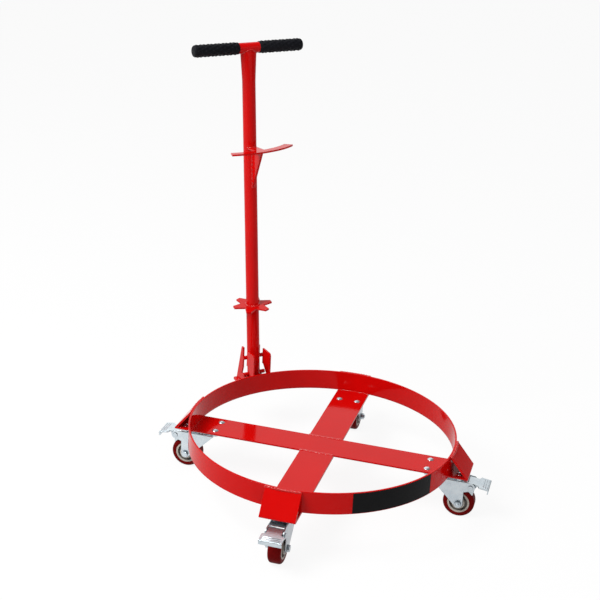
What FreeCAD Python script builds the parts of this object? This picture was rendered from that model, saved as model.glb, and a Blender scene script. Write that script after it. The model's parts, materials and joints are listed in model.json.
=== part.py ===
import FreeCAD, Part
import math
import os

from FreeCAD import Vector

# Drum trolley: a welded hoop on crossed bars, four braked swivel casters and a lift-out T-handle.
# Millimetres. The origin is on the floor on the hoop's axis, +Z is up, the long bar lies along X.

# Hoop
hoop_bore = 610.0
hoop_wall = 4.0
hoop_height = 50.0
weld_bevel_height = 4.0
weld_bevel_depth = 1.2
strip_edge = 0.8

# Cross bars and their folded ends
bar_width = 80.0
bar_thick = 5.0
tip_reach = 44.0
fold_radius = 3.0
slant_drop = 1.0
bead_leg = 4.0
bead_rise = 1.4

# Label on the hoop
label_arc = 202.0
label_margin = 1.2
label_thick = 0.3
label_azimuth = -44.0

# Caster plates and their fasteners
caster_height = 108.0
swivel_inset = 18.0
plate_end = 10.25
plate_side = 11.0
plate_thick = 3.0
plate_corner = 8.0
bolt_pitch_long = 74.5
bolt_pitch_wide = 45.0
bolt_dia = 8.0
bolt_hole_play = 0.4
bolt_head_dia = 16.0
bolt_head_height = 3.4
bolt_tail = 1.5
nut_flats = 13.0
nut_height = 5.0

# Swivel heads
race_dia = 38.0
ball_dia = 6.0
ball_count = 16
boss_depth = 5.0
boss_rim = 7.0
boss_taper = 3.0
race_drop = 9.0
king_pin_dia = 12.0
king_head_dia = 24.0
king_head_height = 3.0

# Forks
fork_thick = 2.5
fork_bend = 5.0
fork_side_play = 2.0
nose_reach = 31.0
nose_height = 4.0
crown_tail = 5.0
axle_boss = 10.0
notch_step = 4.0

# Wheels
wheel_dia = 72.0
tread_width = 32.0
tread_shoulder = 6.5
core_dia = 50.0
rim_thick = 4.0
rim_width = 28.0
web_width = 9.0
hub_dia = 29.0
trail = 39.0
axle_dia = 8.0
axle_head_height = 5.3
axle_nut_height = 6.5
axle_tail = 2.0
bearing_dia = 22.0
bearing_width = 7.0
bearing_proud = 0.5
shield_depth = 0.6
spacer_wall = 2.0

# Brakes
pivot_back = 25.0
pivot_drop = 14.0
pivot_boss = 10.0
pivot_dia = 6.0
rivet_head_dia = 10.0
rivet_head_height = 2.0
pedal_slope = 8.0
pedal_thick = 2.5
pedal_rise = 6.6
pedal_length = 40.5
pedal_root = 8.0
pedal_neck = 14.0
pedal_flare = 4.0
pedal_width = 50.0
pedal_lip = 8.0
cheek_thick = 2.0
cheek_play = 1.5
cheek_boss = 8.0
shoe_thick = 3.0
shoe_width = 24.0
shoe_eye = 6.0
shoe_low_angle = 38.0
shoe_high_angle = 57.0

# Handle bracket
mast_azimuth = 135.0
mast_offset = 49.0
bracket_thick = 4.0
bracket_height = 101.0
bracket_foot_reach = 43.5
bracket_knee_reach = 34.0
bracket_knee_height = 43.0
prong_top = 9.0
bracket_corner = 8.0
mast_play = 4.0
slot_play = 5.8
foot_reach = 49.0
foot_width = 62.0
foot_corner = 4.0

# Mast, pins and T-bar
mast_dia = 32.0
mast_wall = 2.5
mast_toe = 8.0
pin_dia = 10.0
pin_overhang = 6.0
upper_pin_height = 78.0
pin_spacing = 45.0
handle_lean = 3.95
side_lean = 1.05
tilt_out = 35.0
tilt_in = 12.0
window_height = 29.0
tbar_height = 849.5
tbar_dia = 25.0
tbar_wall = 2.0
tbar_length = 282.0
flare_length = 65.0
flare_width = 42.0
flare_sink = 2.0
grip_dia = 30.0
grip_length = 114.5
grip_end = 4.0
grip_round = 5.0
rib_count = 12
rib_depth = 0.7
rib_land = 0.55

# Drum rest, gusset and bung wrench plate
rest_height = 616.0
rest_thick = 4.0
rest_width = 22.0
rest_span = 174.0
rest_bow = 180.0
rest_reach = 74.0
rest_turn = 12.0
tongue_width = 24.0
gusset_depth = 92.0
gusset_thick = 5.0
gusset_setback = 8.0
star_height = 214.0
star_thick = 4.0
star_tip = 49.0
star_notch = 28.0
star_tip_width = 12.0
star_turn = 82.0
star_dip = 7.0
star_dip_side = 152.0
star_fingers = 6
ring_bead = 3.5

# Clearances: seated pieces, running fits, and pieces that pass each other
seat_gap = 0.02
run_gap = 0.05
free_gap = 0.3

# Levels and radii that follow from the sizes above
hoop_inner = hoop_bore / 2
hoop_outer = hoop_inner + hoop_wall
bar_bottom = caster_height
bar_top = bar_bottom + bar_thick
hoop_top = bar_top + hoop_height
plate_length = bolt_pitch_long + 2 * plate_end
plate_width = bolt_pitch_wide + 2 * plate_side
tip_radius = hoop_outer + tip_reach
swivel_radius = hoop_outer - swivel_inset
plate_bottom = caster_height - plate_thick
boss_bottom = plate_bottom - boss_depth
crown_top = plate_bottom - race_drop
crown_bottom = crown_top - fork_thick
ball_level = (boss_bottom + crown_top) / 2
axle_level = wheel_dia / 2
pivot_along = trail + pivot_back
pivot_level = crown_top - pivot_drop
fork_inside = tread_width / 2 + fork_side_play
fork_outside = fork_inside + fork_thick
bearing_outer = tread_width / 2 + bearing_proud
bearing_inner = bearing_outer - bearing_width
mast_radius = hoop_outer + mast_offset
upper_pin_level = bar_top + upper_pin_height
lower_pin_level = upper_pin_level - pin_spacing
mast_bottom = lower_pin_level - pin_dia / 2 - mast_toe
tbar_level = bar_top + tbar_height
bracket_inside = mast_dia / 2 + mast_play
bracket_outside = bracket_inside + bracket_thick
foot_top = bar_top + bar_thick
bracket_top = bar_top + bracket_height
slot_half = pin_dia / 2 + slot_play
pin_half = bracket_outside + pin_overhang
rest_top = bar_top + rest_height
rest_bottom = rest_top - rest_thick
star_bottom = bar_top + star_height
tall = 2 * tbar_level

corners = {"right": 0.0, "rear": 90.0, "left": 180.0, "front": 270.0}
up = Vector(0, 0, 1)
outwards = Vector(1, 0, 0)
across = Vector(0, 1, 0)
centre = Vector(0, 0, 0)

os.makedirs("parts", exist_ok=True)


def save(shape, node):
    shape.exportStep("parts/" + node + ".step")


def box(x0, x1, y0, y1, z0, z1):
    return Part.makeBox(x1 - x0, y1 - y0, z1 - z0, Vector(x0, y0, z0))


def pillar(radius, x, y, z0, z1):
    return Part.makeCylinder(radius, z1 - z0, Vector(x, y, z0), up)


def axle(radius, x, z, y0, y1):
    return Part.makeCylinder(radius, y1 - y0, Vector(x, y0, z), across)


def side_prism(points, y0, y1):
    corner_points = [Vector(x, y0, z) for x, z in points]
    face = Part.Face(Part.makePolygon(corner_points + corner_points[:1]))
    return face.extrude(Vector(0, y1 - y0, 0))


def flat_prism(points, z0, z1):
    corner_points = [Vector(x, y, z0) for x, y in points]
    face = Part.Face(Part.makePolygon(corner_points + corner_points[:1]))
    return face.extrude(Vector(0, 0, z1 - z0))


def turned_on_axle(points, x, z):
    # points are radius and place across the wheel
    outline = [Vector(x, y, z + radius) for radius, y in points]
    face = Part.Face(Part.makePolygon(outline + outline[:1]))
    return face.revolve(Vector(x, 0, z), across, 360)


def hex_along_y(flats, x, z, y0, y1):
    reach = flats / math.sqrt(3)
    angles = [math.radians(60 * side) for side in range(6)]
    points = [(x + reach * math.cos(angle), z + reach * math.sin(angle)) for angle in angles]
    return side_prism(points, y0, y1)


def hex_upright(flats, x, y, z0, z1):
    reach = flats / math.sqrt(3)
    angles = [math.radians(60 * side) for side in range(6)]
    points = [(x + reach * math.cos(angle), y + reach * math.sin(angle)) for angle in angles]
    return flat_prism(points, z0, z1)


def turned_to(shape, azimuth):
    return shape.rotated(centre, up, azimuth)


def at_corner(shape, azimuth):
    return turned_to(shape.translated(Vector(swivel_radius, 0, 0)), azimuth)


def joined(shapes):
    return shapes[0].fuse(shapes[1:]).removeSplitter()


def edges_where(shape, test):
    return [edge for edge in shape.Edges if all(test(vertex.Point) for vertex in edge.Vertexes)]


def near(value, target):
    return abs(value - target) < 0.01


def long_edges(shape, length, level):
    return [edge for edge in edges_where(shape, lambda p: near(p.z, level)) if near(edge.Length, length)]


# Hoop: a rolled strip with eased edges and a weld bevel inside at the bottom
def make_hoop():
    body = pillar(hoop_outer, 0, 0, bar_top, hoop_top)
    body = body.cut(pillar(hoop_inner, 0, 0, bar_top, hoop_top))
    bevel_radius = hoop_inner + weld_bevel_depth
    bevel = Part.makeCone(bevel_radius, hoop_inner, weld_bevel_height, Vector(0, 0, bar_top), up)
    body = body.cut(bevel)
    rims = edges_where(body, lambda point: near(point.z, hoop_top))
    return body.makeFillet(strip_edge, rims)


# Folded bar end: from the tip's bottom corner up the slanted plate and back to the bar's top
slant_top = hoop_top - slant_drop
slant_rise = slant_top - bar_bottom
slant_length = math.hypot(tip_reach, slant_rise)
fold_inside = tip_radius - bar_thick * (tip_reach + slant_length) / slant_rise
slant_back = hoop_outer - bar_thick * slant_length / slant_rise
folded_end = [
    (tip_radius, bar_bottom),
    (hoop_outer, slant_top),
    (slant_back, slant_top),
    (fold_inside, bar_top),
]


def bolt_places():
    for along in (-bolt_pitch_long / 2, bolt_pitch_long / 2):
        for wide in (-bolt_pitch_wide / 2, bolt_pitch_wide / 2):
            yield along, wide


def finish_bar(bar, azimuths):
    room = pillar(hoop_outer + seat_gap, 0, 0, bar_top, hoop_top + bar_thick)
    bar = bar.cut(room)
    fold = edges_where(bar, lambda p: near(abs(p.x), tip_radius) and near(p.z, bar_bottom))
    bar = bar.makeFillet(fold_radius, fold)
    hole = bolt_dia / 2 + bolt_hole_play
    drills = []
    for azimuth in azimuths:
        for along, wide in bolt_places():
            drill = pillar(hole, swivel_radius + along, wide, bar_bottom, bar_top)
            drills.append(turned_to(drill, azimuth))
    return bar.cut(drills)


def make_long_bar():
    far_end = [(-x, z) for x, z in reversed(folded_end)]
    bar = side_prism(folded_end + far_end, -bar_width / 2, bar_width / 2)
    return finish_bar(bar, (0.0, 180.0))


def make_half_bar():
    root = [(bar_width / 2, bar_top), (bar_width / 2, bar_bottom)]
    bar = side_prism(folded_end + root, -bar_width / 2, bar_width / 2)
    return finish_bar(bar, (0.0,))


# Handle bracket, in a frame whose X runs outwards through the mast
def window_outline():
    # the lean to one side lowers one end of the lower pin
    side_drop = bracket_outside * math.tan(math.radians(side_lean))
    outer = pin_spacing + pin_dia / 2 + side_drop + free_gap
    inner = outer - window_height
    spare = math.degrees(math.asin((pin_dia / 2 + 2 * free_gap) / pin_spacing))
    first = math.radians(-90 - tilt_out - spare)
    last = math.radians(-90 + tilt_in + spare)
    middle = (first + last) / 2

    def spot(radius, angle):
        x = mast_radius + radius * math.cos(angle)
        return Vector(x, -bracket_outside, upper_pin_level + radius * math.sin(angle))

    edges = [
        Part.Arc(spot(outer, first), spot(outer, middle), spot(outer, last)).toShape(),
        Part.LineSegment(spot(outer, last), spot(inner, last)).toShape(),
        Part.Arc(spot(inner, last), spot(inner, middle), spot(inner, first)).toShape(),
        Part.LineSegment(spot(inner, first), spot(outer, first)).toShape(),
    ]
    return Part.Face(Part.Wire(edges))


def make_bracket_plate(side):
    knee_level = bar_top + bracket_knee_height
    outline = [
        (hoop_inner, foot_top),
        (mast_radius + bracket_foot_reach, foot_top),
        (mast_radius + bracket_knee_reach, knee_level),
        (mast_radius + slot_half + prong_top, bracket_top),
        (hoop_inner, bracket_top),
    ]
    plate = side_prism(outline, bracket_inside, bracket_outside)
    plate = plate.cut(pillar(hoop_outer + seat_gap, 0, 0, foot_top, bracket_top))
    inner_top = edges_where(plate, lambda p: near(p.z, bracket_top) and p.x < hoop_outer + seat_gap)
    plate = plate.makeFillet(bracket_corner, inner_top)
    slot_low = upper_pin_level - pin_spacing + pin_dia / 2
    slot = box(mast_radius - slot_half, mast_radius + slot_half, bracket_inside, bracket_outside,
               slot_low, bracket_top)
    window = window_outline().extrude(Vector(0, 2 * bracket_outside, 0))
    plate = plate.cut([slot, window])
    if side < 0:
        plate = plate.mirror(centre, across)
    return turned_to(plate, mast_azimuth)


def make_bracket_foot():
    plate = box(0, mast_radius + foot_reach, -foot_width / 2, foot_width / 2, bar_top, foot_top)
    plate = plate.cut(pillar(hoop_outer + seat_gap, 0, 0, bar_top, foot_top))
    far_corners = edges_where(plate, lambda p: near(p.x, mast_radius + foot_reach) and abs(p.y) > 0)
    upright = [edge for edge in far_corners if near(edge.Length, bar_thick)]
    return turned_to(plate.makeFillet(foot_corner, upright), mast_azimuth)


def make_label():
    sweep = math.degrees(label_arc / hoop_outer)
    inside = hoop_outer + seat_gap
    outside = inside + label_thick
    low = bar_top + label_margin
    high = hoop_top - label_margin
    outline = [(inside, low), (outside, low), (outside, high), (inside, high)]
    points = [Vector(x, 0, z) for x, z in outline]
    strip = Part.Face(Part.makePolygon(points + points[:1])).revolve(centre, up, sweep)
    return turned_to(strip, label_azimuth - sweep / 2)


# Weld beads of the base: the bars' crossing, the slanted plates' tops and the bracket's foot
def make_base_beads(bars, plates):
    beads = []
    half = bar_width / 2
    bead_radius = (bead_leg ** 2 + bead_rise ** 2) / (2 * bead_rise)
    for side in (-1, 1):
        start = Vector(-half, side * half, bar_top + bead_rise - bead_radius)
        rod = Part.makeCylinder(bead_radius, bar_width, start, Vector(1, 0, 0))
        beads.append(rod.common(box(-half, half, -bar_width, bar_width, bar_top, hoop_top)))
    wedge = [
        Vector(hoop_outer + seat_gap, 0, hoop_top - strip_edge),
        Vector(hoop_outer + bead_leg, 0, slant_top),
        Vector(hoop_outer + seat_gap, 0, slant_top - bead_leg),
    ]
    sweep = 2 * math.degrees(math.asin(half / hoop_outer))
    rim = Part.Face(Part.makePolygon(wedge + wedge[:1])).revolve(centre, up, sweep)
    for azimuth in corners.values():
        beads.append(turned_to(rim, azimuth - sweep / 2).cut(bars))
    run_start = hoop_outer + bead_leg
    run_end = mast_radius + bracket_knee_reach
    for side in (-1, 1):
        toe = side * bracket_outside
        points = [(toe, foot_top), (toe + side * bead_leg, foot_top), (toe, foot_top + bead_leg)]
        corner_points = [Vector(run_start, y, z) for y, z in points]
        face = Part.Face(Part.makePolygon(corner_points + corner_points[:1]))
        bead = face.extrude(Vector(run_end - run_start, 0, 0))
        beads.append(turned_to(bead, mast_azimuth).cut(plates))
    return Part.makeCompound(beads)


# Caster pieces, in a frame with the swivel axis at X = 0 and the wheel trailing along +X
def make_plate_bolt(along, wide):
    head_radius = bolt_head_dia / 2
    dome = (head_radius ** 2 + bolt_head_height ** 2) / (2 * bolt_head_height)
    ball = Part.makeSphere(dome, Vector(along, wide, bar_top + bolt_head_height - dome))
    head = ball.common(pillar(head_radius, along, wide, bar_top, bar_top + bolt_head_height))
    tail = plate_bottom - nut_height - bolt_tail
    return joined([head, pillar(bolt_dia / 2, along, wide, tail, bar_top)])


def make_plate_nut(along, wide):
    nut = hex_upright(nut_flats, along, wide, plate_bottom - nut_height, plate_bottom)
    return nut.cut(pillar(bolt_dia / 2 + seat_gap, along, wide, plate_bottom - nut_height, plate_bottom))


def make_king_pin():
    head_top = crown_bottom - free_gap
    shank = pillar(king_pin_dia / 2, 0, 0, head_top, caster_height)
    head = pillar(king_head_dia / 2, 0, 0, head_top - king_head_height, head_top)
    head = head.makeFillet(king_head_height / 3, edges_where(head, lambda p: p.z < head_top - free_gap))
    return joined([head, shank])


def ball_groove():
    return Part.makeTorus(race_dia / 2, ball_dia / 2 + free_gap, Vector(0, 0, ball_level), up)


def make_caster_plate():
    plate = box(-plate_length / 2, plate_length / 2, -plate_width / 2, plate_width / 2,
                plate_bottom, caster_height)
    uprights = [edge for edge in plate.Edges if near(edge.Length, plate_thick)]
    plate = plate.makeFillet(plate_corner, uprights)
    boss_radius = race_dia / 2 + boss_rim
    boss = Part.makeCone(boss_radius - boss_taper, boss_radius, boss_depth, Vector(0, 0, boss_bottom), up)
    plate = joined([plate, boss])
    cuts = [pillar(king_pin_dia / 2 + seat_gap, 0, 0, boss_bottom, caster_height), ball_groove()]
    for along, wide in bolt_places():
        cuts.append(pillar(bolt_dia / 2 + bolt_hole_play, along, wide, plate_bottom, caster_height))
    return plate.cut(cuts)


def make_ball_ring():
    balls = []
    for number in range(ball_count):
        angle = 2 * math.pi * number / ball_count
        place = Vector(race_dia / 2 * math.cos(angle), race_dia / 2 * math.sin(angle), ball_level)
        balls.append(Part.makeSphere(ball_dia / 2, place))
    return Part.makeCompound(balls)


def leg_front_tangent():
    # where the leg's front edge, drawn from the nose, meets the boss around the axle
    nose_level = crown_top - nose_height
    run = -nose_reach - trail
    rise = nose_level - axle_level
    reach = math.hypot(run, rise)
    angle = math.atan2(rise, run) + math.acos(axle_boss / reach)
    return trail + axle_boss * math.cos(angle), axle_level + axle_boss * math.sin(angle)


def make_fork():
    far = pivot_along + pivot_boss + fork_bend
    back = -nose_reach - fork_bend
    length = far - back
    outer = box(back, far, -fork_outside, fork_outside, 0, crown_top)
    outer = outer.makeFillet(fork_bend, long_edges(outer, length, crown_top))
    inner = box(back, far, -fork_inside, fork_inside, -fork_bend, crown_bottom)
    inner = inner.makeFillet(fork_bend - fork_thick, long_edges(inner, length, crown_bottom))
    channel = outer.cut(inner)
    outline = [
        (-nose_reach, crown_top),
        (trail + crown_tail, crown_top),
        (pivot_along, pivot_level + pivot_boss),
        (pivot_along, pivot_level - pivot_boss),
        (trail + axle_boss, pivot_level - pivot_boss - notch_step),
        (trail + axle_boss, axle_level),
        leg_front_tangent(),
        (-nose_reach, crown_top - nose_height),
    ]
    wide = 2 * fork_outside
    profile = joined([
        side_prism(outline, -wide, wide),
        axle(axle_boss, trail, axle_level, -wide, wide),
        axle(pivot_boss, pivot_along, pivot_level, -wide, wide),
    ])
    fork = channel.common(profile)
    return fork.cut([
        pillar(king_pin_dia / 2 + run_gap, 0, 0, crown_bottom, crown_top),
        ball_groove(),
        axle(axle_dia / 2 + seat_gap, trail, axle_level, -wide, wide),
        axle(pivot_dia / 2 + seat_gap, pivot_along, pivot_level, -wide, wide),
    ])


def make_axle_set():
    head_end = fork_outside + axle_head_height
    nut_end = fork_outside + axle_nut_height
    head = hex_along_y(nut_flats, trail, axle_level, fork_outside, head_end)
    shank = axle(axle_dia / 2, trail, axle_level, -nut_end - axle_tail, fork_outside)
    nut = hex_along_y(nut_flats, trail, axle_level, -nut_end, -fork_outside)
    nut = nut.cut(axle(axle_dia / 2 + seat_gap, trail, axle_level, -nut_end, -fork_outside))
    pieces = [joined([head, shank]), nut]
    sleeve = axle_dia / 2 + spacer_wall
    spans = [(-fork_inside, -bearing_outer), (-bearing_inner, bearing_inner), (bearing_outer, fork_inside)]
    for start, end in spans:
        spacer = axle(sleeve, trail, axle_level, start, end)
        pieces.append(spacer.cut(axle(axle_dia / 2 + seat_gap, trail, axle_level, start, end)))
    rivet_end = fork_outside + rivet_head_height
    rivet = [axle(pivot_dia / 2, pivot_along, pivot_level, -rivet_end, rivet_end)]
    for start, end in ((-rivet_end, -fork_outside), (fork_outside, rivet_end)):
        rivet.append(axle(rivet_head_dia / 2, pivot_along, pivot_level, start, end))
    pieces.append(joined(rivet))
    return Part.makeCompound(pieces)


def make_tyre():
    half = tread_width / 2
    inside = core_dia / 2 + seat_gap
    rim_half = rim_width / 2
    points = [(inside, -rim_half), (inside, rim_half), (wheel_dia / 2, half), (wheel_dia / 2, -half)]
    tyre = turned_on_axle(points, trail, axle_level)
    shoulders = edges_where(tyre, lambda p: near(abs(p.y), half))
    return tyre.makeFillet(tread_shoulder, [edge for edge in shoulders if edge.Closed])


def make_wheel_core():
    seat = bearing_dia / 2 + seat_gap
    bore = axle_dia / 2 + spacer_wall + fork_side_play
    hub = hub_dia / 2
    rim = core_dia / 2 - rim_thick
    half = tread_width / 2
    right_side = [
        (bore, bearing_inner), (seat, bearing_inner), (seat, half), (hub, half), (hub, web_width / 2),
        (rim, web_width / 2), (rim, rim_width / 2), (core_dia / 2, rim_width / 2),
    ]
    left_side = [(radius, -y) for radius, y in reversed(right_side)]
    return turned_on_axle(right_side + left_side, trail, axle_level)


def make_bearings():
    bore = axle_dia / 2 + run_gap
    outside = bearing_dia / 2
    shield_in = axle_dia / 2 + spacer_wall
    shield_out = outside - spacer_wall / 2
    face = bearing_outer - shield_depth
    points = [
        (bore, bearing_inner), (outside, bearing_inner), (outside, bearing_outer),
        (shield_out, bearing_outer), (shield_out, face), (shield_in, face),
        (shield_in, bearing_outer), (bore, bearing_outer),
    ]
    mirrored = [(radius, -y) for radius, y in points]
    return Part.makeCompound([
        turned_on_axle(points, trail, axle_level),
        turned_on_axle(mirrored, trail, axle_level),
    ])


def tilted_at_pivot(shape):
    tilted = shape.rotated(centre, across, pedal_slope)
    return tilted.translated(Vector(pivot_along, 0, pivot_level))


def make_pedal():
    neck = fork_inside - cheek_play
    half = pedal_width / 2
    flare = pedal_neck + pedal_flare
    top = pedal_rise + pedal_thick
    outline = [(-pedal_root, -neck), (pedal_neck, -neck), (flare, -half), (pedal_length, -half)]
    outline += [(x, -y) for x, y in reversed(outline)]
    tread = flat_prism(outline, pedal_rise, top)
    lip = box(pedal_length - pedal_thick, pedal_length, -half, half, pedal_rise - pedal_lip, pedal_rise)
    tread = joined([tread, lip])
    bend = edges_where(tread, lambda p: near(p.x, pedal_length) and near(p.z, top))
    tread = tread.makeFillet(pedal_thick, bend)
    pieces = [tread]
    cheek = [(-pedal_root, pedal_rise), (-pedal_root, 0)]
    cheek += [(cheek_boss, -cheek_boss / 2), (pedal_neck, pedal_rise)]
    for start, end in ((-neck, cheek_thick - neck), (neck - cheek_thick, neck)):
        pieces.append(side_prism(cheek, start, end))
        pieces.append(axle(cheek_boss, 0, 0, start, end).common(
            box(-cheek_boss, cheek_boss, -neck, neck, -cheek_boss, pedal_rise)))
    pedal = joined(pieces)
    return tilted_at_pivot(pedal.cut(axle(pivot_dia / 2 + run_gap, 0, 0, -half, half)))


def make_shoe():
    inner = wheel_dia / 2 + free_gap
    outer = inner + shoe_thick
    half = shoe_width / 2

    def spot(radius, degrees):
        angle = math.radians(degrees)
        return trail + radius * math.cos(angle), axle_level + radius * math.sin(angle)

    ring = axle(outer, trail, axle_level, -half, half).cut(axle(inner, trail, axle_level, -half, half))
    far = 2 * outer
    wedge = [(trail, axle_level), spot(far, shoe_low_angle), spot(far, shoe_high_angle)]
    pad = ring.common(side_prism(wedge, -half, half))
    middle = (inner + outer) / 2
    neck = side_prism([
        (pivot_along - shoe_eye, pivot_level),
        (pivot_along + shoe_eye, pivot_level),
        spot(middle, shoe_low_angle),
        spot(middle, shoe_high_angle),
    ], -half, half)
    eye = axle(shoe_eye, pivot_along, pivot_level, -half, half)
    arm = joined([neck, eye]).cut(axle(inner, trail, axle_level, -half, half))
    shoe = joined([pad, arm])
    return shoe.cut(axle(pivot_dia / 2 + run_gap, pivot_along, pivot_level, -half, half))


# Handle pieces, in a frame whose X runs outwards through the mast
def oval_wire(across_radius, along_radius, level):
    middle = Vector(mast_radius, 0, level)
    long_end = middle + Vector(0, across_radius, 0)
    short_end = middle + Vector(along_radius, 0, 0)
    return Part.Wire([Part.Ellipse(long_end, short_end, middle).toShape()])


def round_wire(radius, level):
    ring = Part.Circle(Vector(mast_radius, 0, level), up, radius).toShape()
    return Part.Wire([ring.rotated(Vector(mast_radius, 0, 0), up, 90)])


def mast_bar(inset, low):
    # the mast's outer form, or its bore when the wall is taken off
    flare_low = tbar_level - tbar_dia / 2 - flare_length
    flare_top = tbar_level - flare_sink
    radius = mast_dia / 2 - inset
    shaft = pillar(radius, mast_radius, 0, low, flare_low)
    oval = oval_wire(flare_width / 2 - inset, tbar_dia / 2 - inset - free_gap, flare_top)
    head = Part.makeLoft([round_wire(radius, flare_low), oval], True)
    return joined([shaft, head])


def make_mast():
    mast = mast_bar(0, mast_bottom).cut(mast_bar(mast_wall, mast_bottom))
    wide = mast_dia
    return mast.cut([
        axle(tbar_dia / 2 + seat_gap, mast_radius, tbar_level, -wide, wide),
        axle(pin_dia / 2 + run_gap, mast_radius, upper_pin_level, -wide, wide),
        axle(pin_dia / 2 + seat_gap, mast_radius, lower_pin_level, -wide, wide),
    ])


def make_pin(level):
    pin = axle(pin_dia / 2, mast_radius, level, -pin_half, pin_half)
    return pin.makeFillet(strip_edge, [edge for edge in pin.Edges if edge.Closed and near(
        edge.Length, math.pi * pin_dia)])


def make_tbar():
    half = tbar_length / 2 - grip_end
    bar = axle(tbar_dia / 2, mast_radius, tbar_level, -half, half)
    return bar.cut(axle(tbar_dia / 2 - tbar_wall, mast_radius, tbar_level, -half, half))


def leaned(shape):
    hinge = Vector(mast_radius, 0, upper_pin_level)
    tipped = shape.rotated(hinge, across, handle_lean)
    return turned_to(tipped.rotated(hinge, outwards, -side_lean), mast_azimuth)


def make_grip(side):
    start = tbar_length / 2 - grip_length
    end = tbar_length / 2
    bore = tbar_dia / 2 + seat_gap
    outside = grip_dia / 2
    pitch = (grip_length - grip_end - grip_round) / rib_count
    points = [(0, end), (0, end - grip_end), (bore, end - grip_end), (bore, start)]
    for number in range(rib_count):
        rib = start + number * pitch
        points.append((outside - rib_depth, rib))
        points.append((outside, rib + pitch * (1 - rib_land) / 2))
        points.append((outside, rib + pitch * (1 + rib_land) / 2))
    points.append((outside - rib_depth, start + rib_count * pitch))
    points.append((outside - rib_depth, end))
    grip = turned_on_axle(points, mast_radius, tbar_level)
    nose = [edge for edge in grip.Edges if edge.Closed and near(edge.Vertexes[0].Y, end)
            and near(edge.Length, 2 * math.pi * (outside - rib_depth))]
    grip = grip.makeFillet(grip_round, nose)
    if side < 0:
        grip = grip.mirror(centre, across)
    return grip


def make_rest():
    inner_edge = mast_radius - rest_reach
    bow_centre = inner_edge + rest_bow + rest_width / 2
    ring = pillar(rest_bow + rest_width / 2, bow_centre, 0, rest_bottom, rest_top)
    ring = ring.cut(pillar(rest_bow - rest_width / 2, bow_centre, 0, rest_bottom, rest_top))
    half_turn = math.asin(rest_span / 2 / rest_bow)
    reach = 2 * rest_bow
    spread = reach * math.tan(half_turn)
    sector = flat_prism([(bow_centre, 0), (bow_centre - reach, -spread), (bow_centre - reach, spread)],
                        rest_bottom, rest_top)
    tongue = box(inner_edge + rest_width / 2, mast_radius, -tongue_width / 2, tongue_width / 2,
                 rest_bottom, rest_top)
    strip = ring.common(sector).rotated(Vector(mast_radius, 0, 0), up, rest_turn)
    rest = joined([strip, tongue])
    return rest.cut(pillar(mast_dia / 2 + seat_gap, mast_radius, 0, rest_bottom, rest_top))


def make_gusset():
    toe = mast_radius - mast_dia / 2
    tip = mast_radius - rest_reach + gusset_setback
    outline = [
        (tip, rest_bottom),
        (mast_radius, rest_bottom),
        (mast_radius, rest_bottom - gusset_depth),
        (toe, rest_bottom - gusset_depth),
    ]
    plate = side_prism(outline, -gusset_thick / 2, gusset_thick / 2)
    return plate.cut(pillar(mast_dia / 2 + seat_gap, mast_radius, 0, 0, rest_top))


def dipped(shape):
    # the star dips towards one side of the mast, its weld beads with it
    side = math.radians(star_dip_side)
    hinge = Vector(-math.sin(side), math.cos(side), 0)
    return shape.rotated(Vector(mast_radius, 0, star_bottom), hinge, star_dip)


def make_star():
    points = []
    for finger in range(star_fingers):
        middle = star_turn + 360 * finger / star_fingers
        angle = math.radians(middle)
        half = star_tip_width / 2
        for offset in (-half, half):
            x = star_tip * math.cos(angle) - offset * math.sin(angle)
            points.append((mast_radius + x, star_tip * math.sin(angle) + offset * math.cos(angle)))
        notch = math.radians(middle + 180 / star_fingers)
        points.append((mast_radius + star_notch * math.cos(notch), star_notch * math.sin(notch)))
    plate = dipped(flat_prism(points, star_bottom, star_bottom + star_thick))
    return plate.cut(pillar(mast_dia / 2 + seat_gap, mast_radius, 0, 0, tall))


def make_handle_beads():
    inside = mast_dia / 2 + seat_gap
    mast_room = pillar(inside, mast_radius, 0, 0, tall)
    star_top = star_bottom + star_thick
    beads = []
    upper = Part.makeCone(inside + ring_bead, inside, ring_bead, Vector(mast_radius, 0, star_top), up)
    lower = Part.makeCone(inside, inside + ring_bead, ring_bead,
                          Vector(mast_radius, 0, star_bottom - ring_bead), up)
    for cone in (upper, lower):
        beads.append(dipped(cone).cut(mast_room))
    gusset = make_gusset()
    mast_face = mast_radius - math.sqrt((mast_dia / 2) ** 2 - (gusset_thick / 2) ** 2)
    for side in (-1, 1):
        rod = pillar(ring_bead, mast_face, side * gusset_thick / 2, rest_bottom - gusset_depth, rest_bottom)
        half_space = box(0, 2 * mast_radius, 0, mast_radius, 0, tall)
        if side < 0:
            half_space = half_space.mirror(centre, across)
        beads.append(rod.common(half_space).cut([mast_room, gusset]))
    return Part.makeCompound(beads)


# Base
save(make_hoop(), "hoop")
long_bar = make_long_bar()
half_bar = make_half_bar()
front_bar = turned_to(half_bar, corners["front"])
rear_bar = turned_to(half_bar, corners["rear"])
save(long_bar, "long_cross_bar")
save(front_bar, "front_half_bar")
save(rear_bar, "rear_half_bar")
left_plate = make_bracket_plate(1)
right_plate = make_bracket_plate(-1)
save(left_plate, "left_bracket_plate")
save(right_plate, "right_bracket_plate")
save(make_bracket_foot(), "bracket_foot")
save(make_base_beads([long_bar, front_bar, rear_bar], [left_plate, right_plate]), "base_weld_beads")
save(make_label(), "hoop_label")

bolts = []
nuts = []
pins = []
for azimuth in corners.values():
    for along, wide in bolt_places():
        bolts.append(at_corner(make_plate_bolt(along, wide), azimuth))
        nuts.append(at_corner(make_plate_nut(along, wide), azimuth))
    pins.append(at_corner(make_king_pin(), azimuth))
save(Part.makeCompound(bolts), "plate_bolts")
save(Part.makeCompound(nuts), "plate_nuts")
save(Part.makeCompound(pins), "king_pins")

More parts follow.
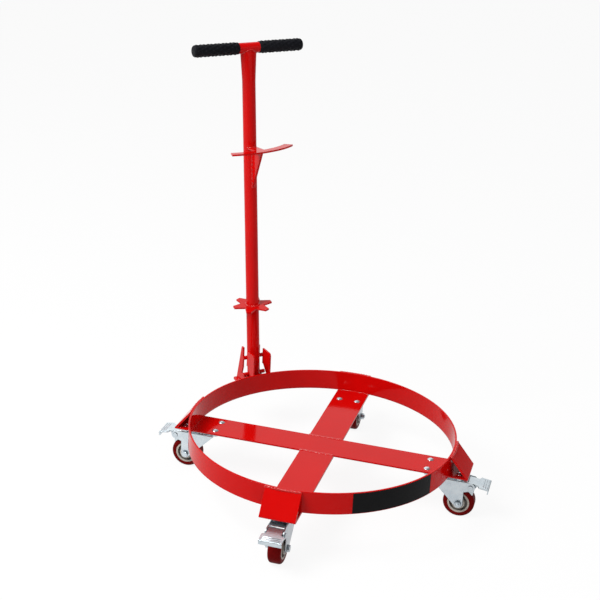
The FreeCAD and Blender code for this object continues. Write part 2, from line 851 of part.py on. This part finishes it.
# Casters
caster_pieces = {
    "caster_plate": make_caster_plate(),
    "ball_ring": make_ball_ring(),
    "fork": make_fork(),
    "axle_set": make_axle_set(),
    "tyre": make_tyre(),
    "wheel_core": make_wheel_core(),
    "bearings": make_bearings(),
    "brake_pedal": make_pedal(),
    "brake_shoe": make_shoe(),
}
for corner, azimuth in corners.items():
    for piece, shape in caster_pieces.items():
        save(at_corner(shape, azimuth), corner + "_" + piece)

# Handle
handle_pieces = {
    "mast_tube": make_mast(),
    "upper_pin": make_pin(upper_pin_level),
    "lower_pin": make_pin(lower_pin_level),
    "t_bar": make_tbar(),
    "drum_rest": make_rest(),
    "rest_gusset": make_gusset(),
    "bung_star": make_star(),
    "handle_weld_beads": make_handle_beads(),
    "left_grip": make_grip(1),
    "right_grip": make_grip(-1),
}
for node, shape in handle_pieces.items():
    save(leaned(shape), node)
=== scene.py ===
import bmesh
import bpy
import json
import math
from mathutils import Matrix, Quaternion, Vector


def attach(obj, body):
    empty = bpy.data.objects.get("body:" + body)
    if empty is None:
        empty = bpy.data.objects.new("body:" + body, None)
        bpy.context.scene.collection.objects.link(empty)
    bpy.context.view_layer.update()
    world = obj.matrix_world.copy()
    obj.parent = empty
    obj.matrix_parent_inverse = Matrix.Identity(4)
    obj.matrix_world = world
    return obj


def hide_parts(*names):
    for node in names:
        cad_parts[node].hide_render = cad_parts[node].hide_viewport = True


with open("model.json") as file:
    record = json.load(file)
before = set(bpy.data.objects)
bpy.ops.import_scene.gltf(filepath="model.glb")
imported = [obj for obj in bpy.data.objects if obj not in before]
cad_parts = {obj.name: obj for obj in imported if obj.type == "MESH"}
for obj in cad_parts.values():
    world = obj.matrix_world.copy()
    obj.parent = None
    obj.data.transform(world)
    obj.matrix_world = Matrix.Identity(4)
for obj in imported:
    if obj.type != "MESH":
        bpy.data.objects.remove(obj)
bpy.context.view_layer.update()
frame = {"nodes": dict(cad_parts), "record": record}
print("frame loaded:", len(frame["nodes"]), "pieces")

corners = {"right": 0, "rear": 90, "left": 180, "front": 270}  # each caster's azimuth

# camera at the photograph's place, a little rolled as the photograph is
cameraSet = {"place": (0.6105, -2.4882, 1.4678), "heading": 105.272, "pitch": 21.271, "roll": 2.799,
             "lens": 74.316, "sensor": 36}


def placeCamera():
    s = cameraSet
    heading = math.radians(s["heading"])
    pitch = math.radians(s["pitch"])
    flat = math.cos(pitch)
    ahead = Vector((math.cos(heading) * flat, math.sin(heading) * flat, -math.sin(pitch)))
    roll = Quaternion((0, 0, 1), math.radians(s["roll"]))
    data = bpy.data.cameras.new("photoCamera")
    data.sensor_width = s["sensor"]
    data.lens = s["lens"]
    camera = bpy.data.objects.new("photoCamera", data)
    camera.rotation_mode = "QUATERNION"
    camera.location = s["place"]
    camera.rotation_quaternion = ahead.to_track_quat("-Z", "Y") @ roll
    bpy.context.collection.objects.link(camera)
    bpy.context.scene.camera = camera


placeCamera()


def linear(hexColour):  # sRGB hex to linear rgba
    parts = [int(hexColour[i:i + 2], 16) / 255 for i in (1, 3, 5)]
    return tuple(c / 12.92 if c <= 0.04045 else ((c + 0.055) / 1.055) ** 2.4 for c in parts) + (1,)


def addNode(tree, kind, sockets, **settings):  # one node, its settings, and its values or links
    node = tree.nodes.new(kind)
    for name, value in settings.items():
        setattr(node, name, value)
    for socket, value in sockets.items():
        if isinstance(value, bpy.types.NodeSocket):
            tree.links.new(value, node.inputs[socket])
        else:
            node.inputs[socket].default_value = value
    return node


def startMaterial(name):
    material = bpy.data.materials.new(name)
    material.use_nodes = True
    tree = material.node_tree
    tree.nodes.clear()
    place = addNode(tree, "ShaderNodeTexCoord", {}).outputs["Object"]
    return material, tree, place


def endMaterial(tree, shader):
    addNode(tree, "ShaderNodeOutputMaterial", {"Surface": shader.outputs[0]})


def layClouds(tree, place, cloud):  # slow clouds from one colour to another, size in mm
    noise = addNode(tree, "ShaderNodeTexNoise", {"Vector": place, "Scale": 1000 / cloud["size"],
                                                 "Detail": cloud["detail"]})
    colour = addNode(tree, "ShaderNodeMix", {"Factor": noise.outputs["Fac"], "A": linear(cloud["low"]),
                                             "B": linear(cloud["high"])}, data_type="RGBA")
    return noise.outputs["Fac"], colour.outputs["Result"]


def paintShadeInHollows(tree, colour, hollowShade):  # painted shade: a darker colour blended in where the surface is closed in
    # painted shade: ambient occlusion darkens the colour in recesses and gaps
    room = addNode(tree, "ShaderNodeAmbientOcclusion", {"Distance": hollowShade["depth"]}, samples=8)
    shade = addNode(tree, "ShaderNodeMapRange", {"Value": room.outputs["AO"], "From Min": hollowShade["shut"],
                                                 "From Max": hollowShade["open"]})
    hollowShaded = addNode(tree, "ShaderNodeMix", {"Factor": shade.outputs[0], "A": linear(hollowShade["colour"]),
                                           "B": colour}, data_type="RGBA")
    return hollowShaded.outputs["Result"]


def raiseGrain(tree, place, grain, under=None):  # fine relief over the normal under it, size in mm, depth in m
    noise = addNode(tree, "ShaderNodeTexNoise", {"Vector": place, "Scale": 1000 / grain["size"],
                                                 "Detail": grain["detail"]})
    sockets = {"Strength": grain["strength"], "Distance": grain["depth"], "Height": noise.outputs["Fac"]}
    if under is not None:
        sockets["Normal"] = under
    return addNode(tree, "ShaderNodeBump", sockets).outputs[0]


# powder coat: sprayed powder fused in an oven, so a deep glossy red with a fine orange peel and slow waves;
# it runs together thicker over the weld ripples, which catch small bright flecks
powderSet = {"cloud": {"size": 70, "detail": 3, "low": "#c90706", "high": "#da0907"}, "edge": 0.0009,
             "smooth": 0.07, "dull": 0.13, "ior": 1.5, "shine": 0.14, "weldShine": 1.0,
             "wave": {"size": 22, "detail": 1, "strength": 0.1, "depth": 0.0003},
             "peel": {"size": 2.4, "detail": 1, "strength": 0.15, "depth": 0.00005}}


def powderCoat(name, shine):
    s = powderSet
    material, tree, place = startMaterial(name)
    cloud, colour = layClouds(tree, place, s["cloud"])
    soft = addNode(tree, "ShaderNodeBevel", {"Radius": s["edge"]}, samples=6)
    slow = raiseGrain(tree, place, s["wave"], soft.outputs[0])
    skin = raiseGrain(tree, place, s["peel"], slow)
    gloss = addNode(tree, "ShaderNodeMapRange", {"Value": cloud, "To Min": s["smooth"], "To Max": s["dull"]})
    shader = addNode(tree, "ShaderNodeBsdfPrincipled", {
        "Base Color": colour, "Roughness": gloss.outputs[0], "IOR": s["ior"], "Specular IOR Level": shine,
        "Normal": skin})
    endMaterial(tree, shader)
    return material


# bright zinc plate: electroplated pressed steel, pale blue-grey with a cloudy bloom,
# with painted shade darkening its recesses
zincSet = {"cloud": {"size": 14, "detail": 4, "low": "#c8d6e0", "high": "#f4fcff"}, "edge": 0.0005,
           "smooth": 0.2, "dull": 0.3, "metallic": 0.92,
           "hollowShade": {"colour": "#46525c", "depth": 0.011, "shut": 0.35, "open": 0.85},
           "grain": {"size": 0.9, "detail": 2, "strength": 0.1, "depth": 0.00003}}


def zincPlate():
    s = zincSet
    material, tree, place = startMaterial("brightZincPlate")
    bloom, colour = layClouds(tree, place, s["cloud"])
    # painted shade: recesses darkened towards a dark blue-grey by ambient occlusion
    hollowShaded = paintShadeInHollows(tree, colour, s["hollowShade"])
    soft = addNode(tree, "ShaderNodeBevel", {"Radius": s["edge"]}, samples=6)
    skin = raiseGrain(tree, place, s["grain"], soft.outputs[0])
    gloss = addNode(tree, "ShaderNodeMapRange", {"Value": bloom, "To Min": s["dull"], "To Max": s["smooth"]})
    shader = addNode(tree, "ShaderNodeBsdfPrincipled", {
        "Base Color": hollowShaded, "Metallic": s["metallic"], "Roughness": gloss.outputs[0], "Normal": skin})
    endMaterial(tree, shader)
    return material


# ground bearing steel: hardened and ground, darker and sharper than the zinc beside it
bearingSet = {"cloud": {"size": 3, "detail": 3, "low": "#8a8f94", "high": "#a9adb1"},
              "smooth": 0.12, "dull": 0.24}


def bearingSteel():
    s = bearingSet
    material, tree, place = startMaterial("groundBearingSteel")
    mark, colour = layClouds(tree, place, s["cloud"])
    gloss = addNode(tree, "ShaderNodeMapRange", {"Value": mark, "To Min": s["smooth"], "To Max": s["dull"]})
    shader = addNode(tree, "ShaderNodeBsdfPrincipled", {
        "Base Color": colour, "Metallic": 1.0, "Roughness": gloss.outputs[0]})
    endMaterial(tree, shader)
    return material


# cast polyurethane: dense dark red tread, satin from the mould, slightly dusty where it rolls
treadSet = {"cloud": {"size": 14, "detail": 3, "low": "#600808", "high": "#7a0c0c"},
            "smooth": 0.3, "dull": 0.42, "ior": 1.5, "shine": 0.03,
            "grain": {"size": 1.1, "detail": 2, "strength": 0.15, "depth": 0.00005}}


def castPolyurethane():
    s = treadSet
    material, tree, place = startMaterial("castPolyurethane")
    cloud, colour = layClouds(tree, place, s["cloud"])
    skin = raiseGrain(tree, place, s["grain"])
    gloss = addNode(tree, "ShaderNodeMapRange", {"Value": cloud, "To Min": s["smooth"], "To Max": s["dull"]})
    shader = addNode(tree, "ShaderNodeBsdfPrincipled", {
        "Base Color": colour, "Roughness": gloss.outputs[0], "IOR": s["ior"], "Specular IOR Level": s["shine"],
        "Normal": skin})
    endMaterial(tree, shader)
    return material


# moulded nylon core: pale warm grey with a slight mould grain, with painted shade darkening its recess
coreSet = {"cloud": {"size": 8, "detail": 3, "low": "#b3aba0", "high": "#cbc3b8"}, "rough": 0.42, "ior": 1.53,
           "hollowShade": {"colour": "#8b867f", "depth": 0.012, "shut": 0.45, "open": 0.8},
           "grain": {"size": 0.8, "detail": 1, "strength": 0.2, "depth": 0.00005}}


def mouldedNylon():
    s = coreSet
    material, tree, place = startMaterial("mouldedNylon")
    colour = layClouds(tree, place, s["cloud"])[1]
    # painted shade: the recess darkened towards a mid grey by ambient occlusion
    hollowShaded = paintShadeInHollows(tree, colour, s["hollowShade"])
    skin = raiseGrain(tree, place, s["grain"])
    shader = addNode(tree, "ShaderNodeBsdfPrincipled", {
        "Base Color": hollowShaded, "Roughness": s["rough"], "IOR": s["ior"], "Normal": skin})
    endMaterial(tree, shader)
    return material


# moulded rubber: black with a cold bloom on the high spots and a leathery mould grain
rubberSet = {"cloud": {"size": 12, "detail": 4, "low": "#0d0e12", "high": "#1a1b21"},
             "smooth": 0.5, "dull": 0.68, "ior": 1.52, "shine": 0.12,
             "grain": {"size": 1.3, "strength": 0.35, "depth": 0.0001}}


def mouldedRubber():
    s = rubberSet
    material, tree, place = startMaterial("mouldedRubber")
    grain = s["grain"]
    cloud, colour = layClouds(tree, place, s["cloud"])
    cells = addNode(tree, "ShaderNodeTexVoronoi", {"Vector": place, "Scale": 1000 / grain["size"]})
    skin = addNode(tree, "ShaderNodeBump", {"Strength": grain["strength"], "Distance": grain["depth"],
                                            "Height": cells.outputs["Distance"]})
    gloss = addNode(tree, "ShaderNodeMapRange", {"Value": cloud, "To Min": s["smooth"], "To Max": s["dull"]})
    shader = addNode(tree, "ShaderNodeBsdfPrincipled", {
        "Base Color": colour, "Roughness": gloss.outputs[0], "IOR": s["ior"], "Specular IOR Level": s["shine"],
        "Normal": skin.outputs[0]})
    endMaterial(tree, shader)
    return material


# printed vinyl film: even black ink under a satin laminate, with the strip's slow waves showing through
filmSet = {"cloud": {"size": 18, "detail": 5, "low": "#0c0c0d", "high": "#151517"},
           "smooth": 0.3, "dull": 0.45, "ior": 1.48, "shine": 0.12,
           "wave": {"size": 30, "detail": 1, "strength": 0.2, "depth": 0.0003}}


def vinylFilm():
    s = filmSet
    material, tree, place = startMaterial("printedVinylFilm")
    scuff, colour = layClouds(tree, place, s["cloud"])
    slow = raiseGrain(tree, place, s["wave"])
    gloss = addNode(tree, "ShaderNodeMapRange", {"Value": scuff, "To Min": s["smooth"], "To Max": s["dull"]})
    shader = addNode(tree, "ShaderNodeBsdfPrincipled", {
        "Base Color": colour, "Roughness": gloss.outputs[0], "IOR": s["ior"], "Specular IOR Level": s["shine"],
        "Normal": slow})
    endMaterial(tree, shader)
    return material


finishes = {
    "red_paint": powderCoat("redPowderCoat", powderSet["shine"]),
    "zinc_steel": zincPlate(),
    "bearing_steel": bearingSteel(),
    "polyurethane": castPolyurethane(),
    "core_nylon": mouldedNylon(),
    "grip_rubber": mouldedRubber(),
    "label_black": vinylFilm(),
}
for part in frame["record"]["subparts"]:
    node = frame["nodes"][part["node"]]
    for slot in node.material_slots:
        slot.material = finishes[part["material_slot"]]
print("finishes laid on:", len(finishes))


def makePiece(name, shape, finish, body, coat=None):  # a bmesh becomes an object that rides on a body
    mesh = bpy.data.meshes.new(name)
    shape.to_mesh(mesh)
    shape.free()
    mesh.materials.append(coat or finishes[finish])
    piece = bpy.data.objects.new(name, mesh)
    bpy.context.collection.objects.link(piece)
    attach(piece, body)
    return piece


# the handle's own frame, zero at the upper pin: X outwards, Y along the T-bar to the left, Z up the mast
handleSet = {"azimuth": 135, "radius": 0.358, "pinHeight": 0.191, "lean": 3.95, "sideLean": 1.05,
             "barHeight": 0.7715}
handleFrame = (Matrix.Rotation(math.radians(handleSet["azimuth"]), 4, "Z")
               @ Matrix.Translation((handleSet["radius"], 0, handleSet["pinHeight"]))
               @ Matrix.Rotation(math.radians(-handleSet["sideLean"]), 4, "X")
               @ Matrix.Rotation(math.radians(handleSet["lean"]), 4, "Y"))

# rubber grips with a blind bore for the T-bar and rows of low studs, as moulded
gripSet = {"inner": 0.0265, "outer": 0.141, "radius": 0.0138, "bore": 0.01252, "plug": 0.004, "lip": 0.001,
           "round": 0.005, "roundSteps": 5, "steps": 40, "merge": 0.00001,
           "rows": 11, "around": 10, "stud": 0.0026, "rise": 0.0012, "stretch": 1.35}


def makeGrip(name, side, node):
    s = gripSet
    shape = bmesh.new()
    blind = s["outer"] - s["plug"]
    outline = [(0, blind), (s["bore"], blind), (s["bore"], s["inner"])]
    outline += [(s["radius"] - s["lip"], s["inner"]), (s["radius"], s["inner"] + s["lip"])]
    for step in range(s["roundSteps"] + 1):
        turn = math.radians(90 * step / s["roundSteps"])
        outline.append((s["radius"] - s["round"] * (1 - math.cos(turn)),
                        s["outer"] - s["round"] * (1 - math.sin(turn))))
    outline.append((0, s["outer"]))
    points = [shape.verts.new((radius, along, 0)) for radius, along in outline]
    edges = [shape.edges.new(pair) for pair in zip(points, points[1:])]
    bmesh.ops.spin(shape, geom=points + edges, cent=(0, 0, 0), axis=(0, 1, 0), angle=math.tau,
                   steps=s["steps"], use_merge=True)
    bmesh.ops.remove_doubles(shape, verts=shape.verts, dist=s["merge"])
    bmesh.ops.recalc_face_normals(shape, faces=shape.faces)
    pitch = (s["outer"] - s["inner"] - 2 * s["round"]) / s["rows"]
    flat = Matrix.Diagonal((s["rise"] / s["stud"], s["stretch"], 1, 1))
    for row in range(s["rows"]):
        along = s["inner"] + s["round"] + (row + 0.5) * pitch
        for number in range(s["around"]):
            turn = math.tau * (number + 0.5 * (row % 2)) / s["around"]  # every other row is set over by half
            spot = Matrix.Rotation(turn, 4, "Y") @ Matrix.Translation((s["radius"], along, 0)) @ flat
            bmesh.ops.create_icosphere(shape, subdivisions=2, radius=s["stud"], matrix=spot)
    for face in shape.faces:
        face.smooth = True
    turnOver = Matrix.Rotation(math.pi, 4, "Z") if side < 0 else Matrix.Identity(4)
    lift = Matrix.Translation((0, 0, handleSet["barHeight"]))
    bmesh.ops.transform(shape, matrix=handleFrame @ lift @ turnOver, verts=shape.verts)
    piece = makePiece(name, shape, "grip_rubber", "handle")
    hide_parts(node)


makeGrip("leftGripMoulding", 1, "left_grip")
makeGrip("rightGripMoulding", -1, "right_grip")
print("grips moulded")

# weld beads: overlapping puddles along each seam, a pitch in bead radii apart, remeshed into one rippled bead
weldSet = {"pitch": 1.3, "uneven": 0.22, "ripple": (911, 743, 557), "voxel": 0.0007}
weldCoat = powderCoat("weldPowderCoat", powderSet["weldShine"])


def layBead(shape, path, radius, squash=1.0):  # puddles of a slightly uneven size along a path of points
    size = Matrix.Diagonal((1, 1, squash, 1))
    for start, end in zip(path, path[1:]):
        run = end - start
        count = max(1, round(run.length / (weldSet["pitch"] * radius)))
        for step in range(count):
            spot = start + run * (step / count)
            wave = math.sin(sum(part * ripple for part, ripple in zip(spot, weldSet["ripple"])))
            bmesh.ops.create_icosphere(shape, subdivisions=2, radius=radius * (1 + weldSet["uneven"] * wave),
                                       matrix=Matrix.Translation(spot) @ size)


def arcPath(radius, height, first, last, steps):
    turns = [math.radians(first + (last - first) * i / steps) for i in range(steps + 1)]
    return [Vector((radius * math.cos(turn), radius * math.sin(turn), height)) for turn in turns]


def finishWeld(name, shape, body, node):
    piece = makePiece(name, shape, "red_paint", body, weldCoat)
    melt = piece.modifiers.new("melt", "REMESH")
    melt.mode = "VOXEL"
    melt.voxel_size = weldSet["voxel"]
    melt.use_smooth_shade = True
    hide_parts(node)


# the base's seams, and for each bead its radius and how far its middle stands out of the corner
baseWeldSet = {"hoop": 0.309, "bore": 0.305, "hoopTop": 0.163, "bar": 0.04, "barTop": 0.113, "half": 7.3,
               "arcSteps": 12, "slantTop": 0.1608, "slantBead": 0.0028, "slantOut": 0.0018,
               "barBead": 0.0014, "barOut": 0.0002, "barUp": 0.0006, "crossBead": 0.0034, "crossFlat": 0.45,
               "footTop": 0.118, "plate": 0.024, "plateOut": 0.0008, "runStart": 0.314, "runEnd": 0.391,
               "footBead": 0.0026, "standBead": 0.0024, "standOut": 0.0006,
               "seam": 93, "seamBead": 0.0012, "seamIn": 0.0004, "endGap": 0.002}


def makeBaseWelds():
    s = baseWeldSet
    shape = bmesh.new()
    for azimuth in corners.values():
        reach = (azimuth - s["half"], azimuth + s["half"], s["arcSteps"])
        layBead(shape, arcPath(s["hoop"] + s["slantOut"], s["slantTop"], *reach), s["slantBead"])
        layBead(shape, arcPath(s["bore"] + s["barOut"], s["barTop"] + s["barUp"], *reach), s["barBead"])
    for side in (-1, 1):
        y = side * s["bar"]
        cross = [Vector((-s["bar"], y, s["barTop"])), Vector((s["bar"], y, s["barTop"]))]
        layBead(shape, cross, s["crossBead"], s["crossFlat"])
    bracket = Matrix.Rotation(math.radians(handleSet["azimuth"]), 4, "Z")
    top = s["hoopTop"] - s["endGap"]
    for side in (-1, 1):
        y = side * (s["plate"] + s["plateOut"])
        low = s["footTop"] + s["plateOut"]
        layBead(shape, [bracket @ Vector((x, y, low)) for x in (s["runStart"], s["runEnd"])], s["footBead"])
        x = math.sqrt(s["hoop"] ** 2 - y * y) + s["standOut"]
        layBead(shape, [bracket @ Vector((x, y, z)) for z in (s["footTop"], top)], s["standBead"])
    turn = math.radians(s["seam"])
    out = Vector((math.cos(turn), math.sin(turn), 0)) * (s["hoop"] - s["seamIn"])
    layBead(shape, [out + Vector((0, 0, z)) for z in (s["barTop"] + s["endGap"], top)], s["seamBead"])
    finishWeld("baseWelds", shape, "base", "base_weld_beads")


makeBaseWelds()

# the handle's seams, at heights along the mast counted from the upper pin
handleWeldSet = {"mast": 0.016, "starLow": 0.136, "starHigh": 0.14, "starDip": 7, "starDipSide": 152,
                 "starBead": 0.0022, "starOut": 0.0006, "starSteps": 36,
                 "restLow": 0.534, "gusset": 0.0025, "gussetOut": 0.0005, "gussetDepth": 0.092,
                 "gussetTip": 0.062, "gussetIn": 0.0003, "gussetBead": 0.0019, "underBead": 0.0017,
                 "underDrop": 0.0004, "restUp": 0.0044, "restOut": 0.0004, "restFirst": 130, "restLast": 230,
                 "restSteps": 10, "restBead": 0.0018,
                 "bar": 0.0125, "flare": 0.0208, "flareDepth": 0.0122, "flareBead": 0.0017, "flareSteps": 48}


def makeHandleWelds():
    s = handleWeldSet
    shape = bmesh.new()
    dipSide = math.radians(s["starDipSide"])
    hinge = Vector((-math.sin(dipSide), math.cos(dipSide), 0))
    middle = Vector((0, 0, s["starLow"]))
    tip = Matrix.Rotation(math.radians(s["starDip"]), 4, hinge)
    dip = Matrix.Translation(middle) @ tip @ Matrix.Translation(-middle)
    for height in (s["starLow"] - s["starOut"], s["starHigh"] + s["starOut"]):
        ring = arcPath(s["mast"] + s["starOut"], height, 0, 360, s["starSteps"])
        layBead(shape, [dip @ spot for spot in ring], s["starBead"])
    under = s["restLow"] - s["underDrop"]
    for side in (-1, 1):
        y = side * (s["gusset"] + s["gussetOut"])
        x = -math.sqrt(s["mast"] ** 2 - y * y) - s["gussetIn"]
        upright = [Vector((x, y, z)) for z in (s["restLow"] - s["gussetDepth"], s["restLow"])]
        layBead(shape, upright, s["gussetBead"])
        layBead(shape, [Vector((x, y, under)), Vector((-s["gussetTip"], y, under))], s["underBead"])
    behind = arcPath(s["mast"] + s["restOut"], s["restLow"] + s["restUp"], s["restFirst"], s["restLast"],
                     s["restSteps"])
    layBead(shape, behind, s["restBead"])
    saddle = []
    for step in range(s["flareSteps"] + 1):  # round the mast's oval top, where it meets the T-bar
        turn = math.tau * step / s["flareSteps"]
        x = s["flareDepth"] * math.cos(turn)
        drop = math.sqrt(s["bar"] ** 2 - x * x)
        saddle.append(Vector((x, s["flare"] * math.sin(turn), handleSet["barHeight"] - drop)))
    layBead(shape, saddle, s["flareBead"])
    bmesh.ops.transform(shape, matrix=handleFrame, verts=shape.verts)
    finishWeld("handleWelds", shape, "handle", "handle_weld_beads")


makeHandleWelds()
print("welds laid")

# pressed foot ridges on the brake pedals
ridgeSet = {"swivel": 0.291, "pivotAlong": 0.064, "pivotHeight": 0.082, "slope": 8, "top": 0.0091,
            "sunk": 0.0003, "along": (0.026, 0.031, 0.036), "length": 0.040, "radius": 0.0011, "round": 0.0006,
            "steps": 16, "rimAngle": 1}


def makeRidges(corner, azimuth):
    s = ridgeSet
    shape = bmesh.new()
    for along in s["along"]:
        lie = Matrix.Translation((along, 0, s["top"] - s["sunk"])) @ Matrix.Rotation(math.pi / 2, 4, "X")
        bmesh.ops.create_cone(shape, cap_ends=True, segments=s["steps"], radius1=s["radius"],
                              radius2=s["radius"], depth=s["length"], matrix=lie)
    rims = [edge for edge in shape.edges if edge.calc_face_angle(0) > s["rimAngle"]]  # radians
    bmesh.ops.bevel(shape, geom=rims, offset=s["round"], offset_type="OFFSET", affect="EDGES", segments=2,
                    profile=0.5, material=-1)
    for face in shape.faces:
        face.smooth = True
    pedal = (Matrix.Rotation(math.radians(azimuth), 4, "Z")
             @ Matrix.Translation((s["swivel"] + s["pivotAlong"], 0, s["pivotHeight"]))
             @ Matrix.Rotation(math.radians(s["slope"]), 4, "Y"))
    bmesh.ops.transform(shape, matrix=pedal, verts=shape.verts)
    makePiece(corner + "PedalRidges", shape, "zinc_steel", corner + "_brake")


for corner, azimuth in corners.items():
    makeRidges(corner, azimuth)
print("pedal ridges pressed")

# studio: a wide pale floor, near white to the eye, with two soft lamps;
# a mirror sees the floor and the room bright at the left and back and dim in front
studioSet = {"floor": 20, "floorColour": "#c4c4c4", "eyeFloor": "#ffffff", "aim": (0, 0, 0.35)}
floorLight = {"bright": (-0.8, 0.3, 0), "span": (-0.5, 0.5), "dim": 0.2, "pale": 0.85, "plain": 0.0,
              "eye": 0.9}
roomLight = {"bright": (-0.6, 0.65, 0.45), "span": (0.42, 0.85), "dim": 0.14, "pale": 1.0, "plain": 0.5,
             "eye": 0.967}
lampSet = {"key": {"place": (-2.1, -1.9, 3.5), "size": 2.0, "power": 140},
           "fill": {"place": (3.0, -1.6, 1.8), "size": 2.5, "power": 8}}


def lightFor(tree, where, light):  # plain on matt surfaces, dim to pale in a mirror, near white to the eye
    path = addNode(tree, "ShaderNodeLightPath", {})
    side = addNode(tree, "ShaderNodeVectorMath", {0: where, 1: light["bright"]}, operation="DOT_PRODUCT")
    seen = addNode(tree, "ShaderNodeMapRange", {
        "Value": side.outputs["Value"], "From Min": light["span"][0], "From Max": light["span"][1],
        "To Min": light["dim"], "To Max": light["pale"]})
    mirror = addNode(tree, "ShaderNodeMix", {"Factor": path.outputs["Is Glossy Ray"], "A": light["plain"],
                                             "B": seen.outputs[0]})
    eye = addNode(tree, "ShaderNodeMath", {0: path.outputs["Is Camera Ray"],
                                           1: path.outputs["Is Transmission Ray"]}, operation="MAXIMUM")
    level = addNode(tree, "ShaderNodeMix", {"Factor": eye.outputs[0], "A": mirror.outputs[0],
                                            "B": light["eye"]})
    return level.outputs[0]


def makeFloor():
    s = studioSet
    shape = bmesh.new()
    bmesh.ops.create_grid(shape, x_segments=1, y_segments=1, size=s["floor"])
    mesh = bpy.data.meshes.new("studioFloor")
    shape.to_mesh(mesh)
    shape.free()
    floor = bpy.data.objects.new("studioFloor", mesh)
    bpy.context.collection.objects.link(floor)
    material, tree, place = startMaterial("paleStudioFloor")
    path = addNode(tree, "ShaderNodeLightPath", {})
    paint = addNode(tree, "ShaderNodeMix", {"Factor": path.outputs["Is Camera Ray"],
                                            "A": linear(s["floorColour"]), "B": linear(s["eyeFloor"])},
                    data_type="RGBA")
    matt = addNode(tree, "ShaderNodeBsdfDiffuse", {"Color": paint.outputs["Result"]})  # keeps the soft shadow
    white = addNode(tree, "ShaderNodeEmission", {"Strength": 1.0})
    share = lightFor(tree, place, floorLight)
    mixed = addNode(tree, "ShaderNodeMixShader", {0: share, 1: matt.outputs[0], 2: white.outputs[0]})
    endMaterial(tree, mixed)
    mesh.materials.append(material)


def makeRoom():
    world = bpy.data.worlds.new("studioSky")
    bpy.context.scene.world = world
    world.use_nodes = True
    tree = world.node_tree
    tree.nodes.clear()
    look = addNode(tree, "ShaderNodeTexCoord", {}).outputs["Generated"]
    level = lightFor(tree, look, roomLight)
    sky = addNode(tree, "ShaderNodeBackground", {"Color": (1, 1, 1, 1), "Strength": level})
    addNode(tree, "ShaderNodeOutputWorld", {"Surface": sky.outputs[0]})


def hangLamp(name, place, size, power):
    data = bpy.data.lights.new(name, "AREA")
    data.energy = power
    data.size = size
    lamp = bpy.data.objects.new(name, data)
    lamp.location = place
    lamp.rotation_mode = "QUATERNION"
    lamp.rotation_quaternion = (Vector(studioSet["aim"]) - Vector(place)).to_track_quat("-Z", "Y")
    bpy.context.collection.objects.link(lamp)


makeFloor()
makeRoom()
for name, lamp in lampSet.items():
    hangLamp(name, lamp["place"], lamp["size"], lamp["power"])
bpy.context.scene.view_settings.view_transform = "Standard"
print("studio lit")
